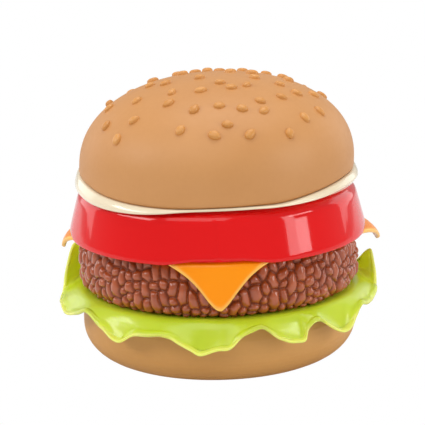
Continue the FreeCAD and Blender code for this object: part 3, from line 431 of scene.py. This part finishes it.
def make_seeds():
    verts, faces = [], []
    nu, nv = 20, 9
    for k, (x, y, turn) in enumerate(SEEDS):
        g = np.random.default_rng(100 + k)
        if 25 < y < 45:
            y += 8.0 if math.hypot(x, y + 8.0) < 53.0 else 0.0
        elif y <= 25:
            x, y = x - 1.5 * (1 - abs(x) / 60.0), y + 1.3
        r = math.hypot(x, y)
        kk = max(1.0 - (r / BUN_R) ** BUN_N, 1e-6)
        z = BUN_Z0 + BUN_H * kk ** (1 / BUN_N)
        gr = BUN_N * r ** (BUN_N - 1) / BUN_R ** BUN_N
        gz = BUN_N * (z - BUN_Z0) ** (BUN_N - 1) / BUN_H ** BUN_N
        n = Vector((gr * x / max(r, 1e-6), gr * y / max(r, 1e-6), gz)).normalized()
        q = Vector((0, 0, 1)).rotation_difference(n)
        rot = q.to_matrix() @ Matrix.Rotation(math.radians(turn + g.uniform(-8, 8)), 3, "Z")
        L, Wd, H = 2.25 * g.uniform(0.92, 1.1), 1.62 * g.uniform(0.92, 1.08), 1.55 * g.uniform(0.95, 1.12)
        base = len(verts)
        for i in range(nu):
            a = 2 * math.pi * i / nu
            ca, sa = math.cos(a), math.sin(a)
            point = 1.0 - 0.24 * max(0.0, ca) ** 1.5      # a seed narrows at one end
            for j in range(nv):
                s = j / (nv - 1)
                # a domed grain with a soft fillet into the crust
                rr = 1.22 - 0.30 * s if s < 0.35 else (1.115) * math.cos((s - 0.35) / 0.65 * math.pi / 2) ** 0.8
                hh = -0.35 + 0.55 * (s / 0.35) ** 1.6 if s < 0.35 else 0.20 + 0.80 * math.sin((s - 0.35) / 0.65 * math.pi / 2)
                p = Vector((L * rr * ca, Wd * rr * sa * point, H * hh))
                w = rot @ p + Vector((x, y, z))
                w.x += LEAN * (z - (BUN_Z0 - 5.0))
                verts.append(tuple(w * MM))
        for i in range(nu):
            for j in range(nv - 1):
                a0, a1 = base + i * nv + j, base + ((i + 1) % nu) * nv + j
                faces.append((a0, a1, a1 + 1, a0 + 1))
        faces.append(tuple(base + i * nv for i in range(nu))[::-1])
    me = bpy.data.meshes.new("sesame_seeds")
    me.from_pydata(verts, [], faces)
    ob = finish_mesh("sesame_seeds", me)
    import bmesh
    bm = bmesh.new()
    bm.from_mesh(ob.data)
    bmesh.ops.remove_doubles(bm, verts=bm.verts, dist=1e-6)
    bmesh.ops.recalc_face_normals(bm, faces=bm.faces)
    bm.to_mesh(ob.data)
    bm.free()
    for p in ob.data.polygons:
        p.use_smooth = True
    ob.data.materials.append(M_SEED)
    return ob


bun = make_bun()
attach(bun, "lid")
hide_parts("top_bun_shell")
seeds = make_seeds()
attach(seeds, "lid")


# ------------------------------------------------------------------ red skin
def make_skin():
    NU = 720
    phi = np.linspace(-180, 180, NU, endpoint=False)
    front = np.exp(-(phi / 34.0) ** 2)
    lobe = 0.5 + (np.abs(np.sin(np.radians(3.0 * phi))) ** 0.8 - 0.62) * (0.25 + 0.75 * front) - 0.35 * np.exp(-(phi / 2.2) ** 2)
    corner = np.min(np.stack([np.abs((phi - c0 + 180) % 360 - 180) for c0 in (-92.0, 0.0, 96.0, 180.0)]), axis=0)
    low = 54.35 + 1.95 * (1 - smooth(7.0, 22.0, corner))
    prof = [(64.45, 0.0), (64.7, 0.35), (64.75, 0.9), (64.45, 2.4), (63.7, 5.5), (62.9, 8.8), (62.1, 12.0), (61.5, 14.4), (61.1, 16.0),
            (60.75, 17.1), (60.2, 18.2), (59.3, 19.2), (58.2, 20.1), (57.0, 20.75), (56.0, 20.95), (55.6, 20.9)]
    rows = []
    for r, h in prof:
        z = low + h * (75.5 - low) / 21.0
        f = np.clip(1 - h / 21.0, 0, 1)
        rows.append((r + 0.75 * (lobe - 0.55) * (0.35 + 0.65 * f), z))
    rows2 = [(r - 1.5, z - 0.0) for r, z in rows[::-1]]
    rows2 = [(55.4 + 0 * phi, 75.0 + 0 * phi)] + rows2[3:-1] + [(rows[0][0] - 1.2, rows[0][1] + 0.25)]
    loop = rows + rows2
    P = np.stack([polar(phi, r + 0 * phi, z + 0 * phi) for r, z in loop], axis=1)
    ob = outward(grid_mesh("tomato_skin", P, close_v=True))
    ob.data.materials.append(M_RED)
    return ob


skin = make_skin()
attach(skin, "base")


# ------------------------------------------------------------------ cheese
CH_F, CH_B, CH_L, CH_R = 84.6, 78.0, 74.0, 78.4
CORNER_L, CORNER_R = -92.0, 99.0
CH_FULL = [(-180, 79.0), (CORNER_L, 75.0), (0, 81.0), (CORNER_R, 68.0)]
CH_BEND = [(-180, 4.0), (CORNER_L, 9.5), (0, 3.2), (CORNER_R, 14.0)]


def square_angle(p):
    return np.interp(p, [-180.0, CORNER_L, -25.0, 0.0, 8.0, 25.0, CORNER_R, 180.0], [-180.0, -90.0, -29.5, 0.0, 9.6, 33.0, 90.0, 180.0])


def make_cheese():
    base = np.concatenate([np.linspace(0, 6, 13)[:-1], np.linspace(6, 20, 15)[:-1], np.linspace(20, 70, 26)[:-1], np.linspace(70, 84, 15)[:-1], np.linspace(84, 90, 13)[:-1]])
    corners = [-180.0, CORNER_L, 0.0, CORNER_R, 180.0]
    phi = np.concatenate([lo + (hi - lo) * base / 90.0 for lo, hi in zip(corners, corners[1:])])
    a = np.radians(square_angle(phi))
    c, s = np.cos(a), np.sin(a)
    hf = np.where(c > 0, CH_F, CH_B)
    hs = np.where(s > 0, CH_R, CH_L)
    p = 1.0
    reach = 1.0 / (np.abs(c) / hf + np.sqrt(s ** 2 + np.where(c > 0, 0.045, 0.0) ** 2) / hs)
    # rounded tips
    corner = np.min(np.stack([np.abs((phi - c0 + 180) % 360 - 180) for c0 in corners[:4]]), axis=0)
    reach = reach - np.where(np.abs(phi) < 30, 0.0, 1.3) * np.exp(-(corner / 1.5) ** 2)
    reach = reach - 0.9 * np.sin(np.clip((reach - 63.0) / 14.0, 0, 1) * np.pi) * (1 - smooth(30, 45, np.abs(phi)))
    full, bend = np.radians(wave(CH_FULL, phi)), wave(CH_BEND, phi)
    zt = CHEESE_Z + CHEESE_T / 2
    n = 40
    R = np.zeros((len(phi), n))
    Z = np.zeros((len(phi), n))
    for k in range(n):
        s1 = 50.9 + (reach - 50.9) * k / (n - 1)
        d = s1 - 61.0
        th = np.clip(full * d / bend, 0, full)
        rb = 61.0 + bend / full * np.sin(th)
        zb = zt - bend / full * (1 - np.cos(th))
        over = np.maximum(d - bend, 0)
        R[:, k] = np.where(d <= 0, s1, rb + over * np.cos(full) + 0.010 * over ** 2 * 0)
        Z[:, k] = np.where(d <= 0, zt, zb - over * np.sin(full))
    t = CHEESE_T / 2
    dR, dZ = np.gradient(R, axis=1), np.gradient(Z, axis=1)
    L = np.sqrt(dR**2 + dZ**2) + 1e-9
    nR, nZ = -dZ / L, dR / L
    rows, painted_light_and_shade = [], []
    reach_left = (reach[:, None] - (50.9 + (reach[:, None] - 50.9) * np.arange(n)[None] / (n - 1)))
    # edge mask: thins the top towards the rim and sets where the painted edge highlight goes
    edge = np.exp(-(reach_left / 0.9) ** 2)
    top = [(R[:, k] + nR[:, k] * t * np.sqrt(np.clip(1 - edge[:, k] ** 3 * 0.5, 0, 1)), Z[:, k] + nZ[:, k] * t) for k in range(n)]
    bot = [(R[:, k] - nR[:, k] * t, Z[:, k] - nZ[:, k] * t) for k in range(n)]
    cap = []
    for q in (60, 30, 0, -30, -60):
        cq, sq = math.cos(math.radians(q)), math.sin(math.radians(q))
        cap.append((R[:, -1] + nR[:, -1] * t * sq + dR[:, -1] / L[:, -1] * t * 0.8 * cq, Z[:, -1] + nZ[:, -1] * t * sq + dZ[:, -1] / L[:, -1] * t * 0.8 * cq))
    loop = top + cap + bot[::-1]
    # painted highlight along the cut edge: lighter colour on the top rim, the cap and the underside rim
    painted_light_and_shade = [edge[:, k] * 0.9 for k in range(n)] + [np.ones(len(phi)) * 0.9] * 5 + [edge[:, k] * 0.6 for k in range(n)][::-1]
    P = np.stack([polar(phi, r, z) for r, z in loop], axis=1)
    ob = outward(grid_mesh("cheese_sheet", P, close_v=True, painted_light_and_shade=np.stack(painted_light_and_shade, axis=1)))
    ob.data.materials.append(M_CHEESE)
    return ob


cheese = make_cheese()
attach(cheese, "base")
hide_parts("cheese_slice")


# ------------------------------------------------------------------ patty
def make_patty():
    NU = 1300
    phi = np.linspace(-180, 180, NU, endpoint=False)
    ctrl = [(55.0, 31.15), (57.0, 31.2), (58.9, 32.4), (60.3, 35.0), (61.0, 39.0), (61.0, 43.0), (60.3, 47.0), (59.3, 50.5), (58.2, 53.0), (56.5, 53.8), (54.0, 53.8)]
    c = np.array(ctrl)
    seg = np.concatenate([[0], np.cumsum(np.hypot(*np.diff(c, axis=0).T))])
    NV = 96
    u = np.linspace(0, seg[-1], NV)
    pr, pz = np.interp(u, seg, c[:, 0]), np.interp(u, seg, c[:, 1])
    k = np.ones(5) / 5
    for _ in range(2):
        pr[2:-2] = np.convolve(pr, k, "valid")
        pz[2:-2] = np.convolve(pz, k, "valid")
    dr, dz = np.gradient(pr), np.gradient(pz)
    L = np.hypot(dr, dz)
    nr, nz = dz / L, -dr / L
    circ = 2 * math.pi * 60.5
    S = (phi + 180) / 360 * circ
    g = np.random.default_rng(21)
    cells = []
    ncol = 90
    wc = circ / ncol
    for c0 in range(ncol):
        y = g.uniform(-1.0, 1.2)
        first = True
        while y < seg[-1] + 2.0:
            ln = g.uniform(2.6, 3.8) if first else g.choice([g.uniform(3.8, 5.2), g.uniform(6.2, 10.5)])
            first = False
            cells.append(((c0 + 0.5) * wc + g.normal() * 0.55, y + ln / 2, wc / 2 * g.uniform(0.85, 1.30), ln / 2, g.uniform(0.55, 1.0), g.normal() * 0.18))
            y += ln * 0.97
    F1 = np.full((NU, NV), 9.0)
    F2 = np.full((NU, NV), 9.0)
    AM = np.zeros((NU, NV))
    for cx, cy, hw, hl, amp, tilt in cells:
        ds = (S - cx + circ / 2) % circ - circ / 2
        ii = np.where(np.abs(ds) < 3.4 * hw)[0]
        jj = np.where(np.abs(u - cy) < 2.6 * hl + 1.5)[0]
        if not len(ii) or not len(jj):
            continue
        dx, dy = ds[ii][:, None], (u[jj] - cy)[None, :]
        ww = hw * (1.0 - 0.22 * np.clip(dy / hl, -1.2, 1.2))
        dd = np.sqrt(((dx - tilt * dy) / ww) ** 2 + (np.abs(dy) / hl) ** 2.2)
        m = np.ix_(ii, jj)
        f1, f2, am = F1[m], F2[m], AM[m]
        near = dd < f1
        F2[m] = np.where(near, f1, np.minimum(f2, dd))
        AM[m] = np.where(near, amp, am)
        F1[m] = np.where(near, dd, f1)
    q3 = F1 / np.maximum(F2, 1e-6)
    H = (0.25 + 0.75 * AM) * np.clip(1 - q3 ** 1.5, 0, 1) ** 0.72 + 0.22 * AM
    H = 0.6 * H + 0.1 * (np.roll(H, 1, 0) + np.roll(H, -1, 0)) + 0.1 * (np.pad(H, ((0, 0), (1, 0)), mode="edge")[:, :-1] + np.pad(H, ((0, 0), (0, 1)), mode="edge")[:, 1:])
    fade = smooth(0, 1.8, u)[None] * smooth(0, 2.0, seg[-1] - u)[None]
    D = (-2.1 + 2.8 * H) * fade
    Rr = pr[None] + nr[None] * D
    Zz = pz[None] + nz[None] * D * 0.6
    rows_r, rows_z = [Rr], [Zz]
    inner_r = np.array([52.0, 51.0, 51.0, 52.0])
    inner_z = np.array([53.4, 53.0, 32.0, 31.6])
    Rr = np.concatenate([Rr, np.tile(inner_r, (NU, 1))], axis=1)
    Zz = np.concatenate([Zz, np.tile(inner_z, (NU, 1))], axis=1)
    # painted shade mask: low in the grooves between strands, high on their crests, zero on the hidden inner wall
    T = np.concatenate([np.clip(H * 1.5 - 0.1, 0, 1), np.zeros((NU, 4))], axis=1)
    P = polar(phi[:, None], Rr, Zz)
    ob = outward(grid_mesh("patty_meat", P, close_v=True, painted_light_and_shade=T))
    ob.data.materials.append(M_PATTY)
    return ob


patty = make_patty()
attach(patty, "base")
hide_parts("patty_shell")

# ------------------------------------------------------------------ lettuce
EDGE = [(-84, 24.4), (-72, 23.3), (-56, 28.2), (-46, 24.3), (-37, 21.2), (-31, 24.6), (-25, 25.4), (-18, 25.4), (-14, 23.1),
        (-10, 20.6), (-7, 19.2), (-1, 21.3), (3, 21.4), (7, 25.3), (10, 27.0), (14, 28.2), (17, 26.5), (21, 23.0), (26, 21.4),
        (30, 21.2), (32, 24.9), (37, 27.6), (42, 23.6), (48, 20.2), (52, 20.4), (57, 23.9), (64, 26.3), (74, 25.0), (86, 26.5),
        (98, 23.5), (106, 27.5), (115, 22.5), (124, 27.0), (133, 21.0), (142, 26.5), (151, 22.0), (160, 26.8), (168, 25.6),
        (180, 27.6), (192, 25.6), (200, 26.6), (209, 21.4), (219, 27.4), (228, 22.4), (238, 27.2), (248, 23.0), (258, 26.8), (266, 25.0)]
EDGE = sorted([((a + 180.0) % 360.0 - 180.0, z) for a, z in EDGE])
LOBE = [(-180, 0.0), (-142, 0.0), (-130, 0.35), (-120, 0.75), (-112, 1.0), (-103, 1.0), (-98, 0.6), (-93, 0.05), (-86, 0.0), (-40, 0.0),
        (0, 0.0), (40, 0.0), (86, 0.0), (91, 0.05), (95.5, 0.6), (99, 1.0), (104, 1.0), (112, 0.55), (122, 0.1), (134, 0.0)]
LOBE_TOP = [(-180, 36.0), (-125, 37.5), (-115, 40.0), (-105, 44.6), (-96, 42.0), (0, 40.0), (95, 38.5), (100, 39.4), (106, 35.0), (116, 31.0)]


def spline_rows(path, n):
    """Catmull-Rom through a list of (r array, z array) stations, sampled n times."""
    R = np.stack([p[0] for p in path], axis=1)
    Z = np.stack([p[1] for p in path], axis=1)
    m = R.shape[1]
    out = []
    for k in range(n):
        x = k / (n - 1) * (m - 1)
        i = min(int(x), m - 2)
        t = x - i
        i0, i1, i2, i3 = max(i - 1, 0), i, i + 1, min(i + 2, m - 1)
        w = (-0.5 * t + t**2 - 0.5 * t**3, 1 - 2.5 * t**2 + 1.5 * t**3, 0.5 * t + 2 * t**2 - 1.5 * t**3, -0.5 * t**2 + 0.5 * t**3)
        out.append((sum(a * R[:, j] for a, j in zip(w, (i0, i1, i2, i3))), sum(a * Z[:, j] for a, j in zip(w, (i0, i1, i2, i3)))))
    return out


def make_lettuce():
    NU = 900
    phi = np.linspace(-180, 180, NU, endpoint=False)
    ze = wave(EDGE, phi)
    w = np.clip(wave(LOBE, phi), 0, 1)
    top = wave(LOBE_TOP, phi)
    re = 68.4 - 0.42 * (ze - 24.0)
    rl = np.where(phi < 0, np.interp(phi, [-135, -118, -104, -96], [62.6, 63.6, 67.4, 70.0]), np.interp(phi, [94, 101, 112, 124], [70.6, 69.8, 66.0, 64.0]))
    mid = LEAF_Z + LEAF_T / 2
    o = np.ones(NU)
    k = 1.0 + 0.34 * np.exp(-((np.abs(phi) - 90.0) / 14.0) ** 2)
    fr = [(51.0 * o, mid * o), (54.4 * o, mid * o), (57.9 * o, mid * o), (61.3 * o, mid * o), (63.0 * o, 0.82 * mid + 0.18 * ze), (64.4 * o, 0.57 * mid + 0.43 * ze),
          (65.8 * o, 0.3 * mid + 0.7 * ze), (67.0 * o, ze + 0.9), (67.7 * o, ze + 0.3), (re, ze)]
    fr = [(np.where(r <= 61.3, r, 61.3 + (r - 61.3) * k), z) for r, z in fr]
    sd = [(51.0 * o, mid * o), (54.4 * o, mid * o), (57.9 * o, mid * o), (61.3 * o, mid * o), (63.8 * o, 29.7 * o), (66.0 * o, 28.9 * o),
          (np.maximum(rl - 0.6, 65.6), 29.7 * o), (np.maximum(rl + 0.2, 65.4), 33.0 * o), (rl, 0.5 * top + 17.5), (rl - 0.5, top)]
    path = [((1 - w) * a[0] + w * b2[0], (1 - w) * a[1] + w * b2[1]) for a, b2 in zip(fr, sd)]
    n = 46
    rows = spline_rows(path, n)
    R = np.stack([r for r, z in rows], axis=1)
    Z = np.stack([z for r, z in rows], axis=1)
    # small pleats that grow towards the edge
    f = np.linspace(0, 1, n)[None]
    grow = smooth(0.38, 1.0, f)
    p1 = fade_noise(5, NU, 34)[:, None]
    p2 = fade_noise(6, NU, 60)[:, None]
    Z = Z + grow * (0.55 * p1 + 0.30 * p2) * (1 - 0.6 * w[:, None])
    R = R + grow * (0.35 * fade_noise(8, NU, 30)[:, None] - 0.25) * (1 - 0.7 * w[:, None])
    dR, dZ = np.gradient(R, axis=1), np.gradient(Z, axis=1)
    L = np.sqrt(dR**2 + dZ**2) + 1e-9
    nR, nZ = -dZ / L, dR / L
    t = np.interp(np.linspace(0, 1, n), [0, 0.5, 1], [0.9, 0.8, 0.62])[None]
    top_s = [(R[:, k] + nR[:, k] * t[0, k], Z[:, k] + nZ[:, k] * t[0, k]) for k in range(n)]
    bot_s = [(R[:, k] - nR[:, k] * t[0, k], Z[:, k] - nZ[:, k] * t[0, k]) for k in range(n)]
    cap = []
    for q in (60, 25, -25, -60):
        cq, sq = math.cos(math.radians(q)), math.sin(math.radians(q))
        cap.append((R[:, -1] + (nR[:, -1] * sq + dR[:, -1] / L[:, -1] * cq) * t[0, -1], Z[:, -1] + (nZ[:, -1] * sq + dZ[:, -1] / L[:, -1] * cq) * t[0, -1]))
    loop = top_s + cap + bot_s[::-1]
    # painted highlight along the lit leaf edge and underside rim, and painted light brightening the standing side
    # lobes
    edge = smooth(0.80, 0.97, np.linspace(0, 1, n)) * 0.75
    T = np.concatenate([edge, np.ones(4) * 0.95, edge[::-1] * 0.7])[None] * np.ones((NU, 1))
    T = np.clip(T + 0.75 * w[:, None], 0, 1)
    P = np.stack([polar(phi, r, z) for r, z in loop], axis=1)
    ob = outward(grid_mesh("lettuce_sheet", P, close_v=True, painted_light_and_shade=T))
    ob.data.materials.append(M_LEAF)
    return ob


leaf = make_lettuce()
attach(leaf, "base")
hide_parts("lettuce_leaf")

# ------------------------------------------------------------------ key legends
rows4 = [["*", "0", "#"], ["7", "8", "9"], ["4", "5", "6"], ["1", "2", "3"]]
node_rows = [["key_star", "key_0", "key_hash"], ["key_7", "key_8", "key_9"], ["key_4", "key_5", "key_6"], ["key_1", "key_2", "key_3"]]
legends = [(node_rows[r][c], rows4[r][c], 5.6) for r in range(4) for c in range(3)] + [("key_flash", "F", 4.6), ("key_redial", "R", 4.6)]
for node, txt, size in legends:
    lo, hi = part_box(node)
    cu = bpy.data.curves.new("ink_" + node, "FONT")
    cu.body = txt
    cu.size = size * MM
    cu.align_x = "CENTER"
    cu.align_y = "CENTER"
    cu.extrude = 0.00004
    tmp = bpy.data.objects.new("tmp_" + node, cu)
    bpy.context.scene.collection.objects.link(tmp)
    bpy.context.view_layer.update()
    me = bpy.data.meshes.new_from_object(tmp)
    bpy.data.objects.remove(tmp)
    co = np.zeros(len(me.vertices) * 3)
    me.vertices.foreach_get("co", co)
    co = co.reshape(-1, 3)
    mid = (co.min(0) + co.max(0)) / 2
    co[:, 0] += (lo.x + hi.x) / 2 - mid[0]
    co[:, 1] += (lo.y + hi.y) / 2 - mid[1]
    co[:, 2] += hi.z + 0.00003
    me.vertices.foreach_set("co", co.ravel())
    me.materials.clear()
    me.materials.append(PLAIN["ink"])
    ob = bpy.data.objects.new("legend_" + node[4:], me)
    bpy.context.scene.collection.objects.link(ob)
    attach(ob, node)

# ------------------------------------------------------------------ stage, light, camera
bpy.ops.mesh.primitive_plane_add(size=6.0, location=(0, 0, 0))
floor = bpy.context.object
floor.name = "floor"
fm, nt, b = material("floor_paper", rough=0.85, spec=0.1)
b.inputs["Base Color"].default_value = (0.80, 0.80, 0.80, 1)
glow = nt.nodes.new("ShaderNodeEmission")
glow.inputs["Color"].default_value = (1, 1, 1, 1)
glow.inputs["Strength"].default_value = 1.0
path = nt.nodes.new("ShaderNodeLightPath")
mx = nt.nodes.new("ShaderNodeMixShader")
nt.links.new(path.outputs["Is Camera Ray"], mx.inputs[0])
nt.links.new(b.outputs[0], mx.inputs[1])
nt.links.new(glow.outputs[0], mx.inputs[2])
nt.links.new(mx.outputs[0], nt.nodes["Material Output"].inputs["Surface"])
floor.data.materials.append(fm)
floor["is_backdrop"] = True

bpy.context.scene.view_settings.view_transform = "Standard"
bpy.context.scene.view_settings.look = "None"
w = bpy.data.worlds.new("studio")
bpy.context.scene.world = w
w.use_nodes = True
wn = w.node_tree
bg = wn.nodes["Background"]
bg.inputs["Color"].default_value = (1, 1, 1, 1)
bg.inputs["Strength"].default_value = 0.47
bg2 = wn.nodes.new("ShaderNodeBackground")
bg2.inputs["Color"].default_value = (1, 1, 1, 1)
bg2.inputs["Strength"].default_value = 1.0
lp = wn.nodes.new("ShaderNodeLightPath")
wm = wn.nodes.new("ShaderNodeMixShader")
wn.links.new(lp.outputs["Is Camera Ray"], wm.inputs[0])
wn.links.new(bg.outputs[0], wm.inputs[1])
wn.links.new(bg2.outputs[0], wm.inputs[2])
wn.links.new(wm.outputs[0], wn.nodes["World Output"].inputs["Surface"])


def polar_at(az, el, dist):
    a, e2 = math.radians(az), math.radians(el)
    return (dist * math.cos(e2) * math.sin(a), -dist * math.cos(e2) * math.cos(a), 0.064 + dist * math.sin(e2))


def area(name, loc, target, sx, sy, power, color=(1, 1, 1)):
    d = bpy.data.lights.new(name, "AREA")
    d.shape = "RECTANGLE"
    d.size, d.size_y = sx, sy
    d.energy = power
    d.color = color
    o = bpy.data.objects.new(name, d)
    o.location = loc
    o.rotation_euler = (Vector(target) - Vector(loc)).to_track_quat("-Z", "Y").to_euler()
    bpy.context.scene.collection.objects.link(o)
    return o


area("key_top", (0.05, 0.10, 1.0), (0, 0, 0.06), 0.8, 0.6, 4.4)
area("soft_left", polar_at(-74, 31, 0.9), (0, 0, 0.06), 0.5, 0.20, 2.2)
area("front_fill", polar_at(-22, 50, 1.0), (0, 0, 0.05), 0.7, 0.5, 2.2)
area("back_left", polar_at(-128, 14, 0.9), (0, 0, 0.05), 0.5, 0.5, 0.9)
area("back_right", polar_at(128, 14, 0.9), (0, 0, 0.05), 0.5, 0.5, 0.9)
area("soft_right_tall", polar_at(58, 15, 0.9), (0, 0, 0.064), 0.15, 0.42, 0.9)
area("soft_right_high", polar_at(72, 26, 0.9), (0, 0, 0.064), 0.36, 0.12, 0.9)
area("soft_right_low", polar_at(68, 8, 0.9), (0, 0, 0.064), 0.17, 0.13, 0.45)

cam_d = bpy.data.cameras.new("camera")
cam = bpy.data.objects.new("camera", cam_d)
bpy.context.scene.collection.objects.link(cam)
e = math.radians(13.1)
target = Vector((0, 0, 0.064))
cam.location = target + Vector((0, -0.65 * math.cos(e), 0.65 * math.sin(e)))
q = (target - cam.location).to_track_quat("-Z", "Y")
cam.rotation_mode = "QUATERNION"
cam.rotation_quaternion = (q.to_matrix() @ Matrix.Rotation(math.radians(-1.4), 3, "Z")).to_quaternion()
cam_d.sensor_width = 36.0
cam_d.lens = 125.1
cam_d.shift_x = -0.01080
cam_d.shift_y = -0.01400
cam_d.clip_start = 0.01
bpy.context.scene.camera = cam

lo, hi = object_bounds()
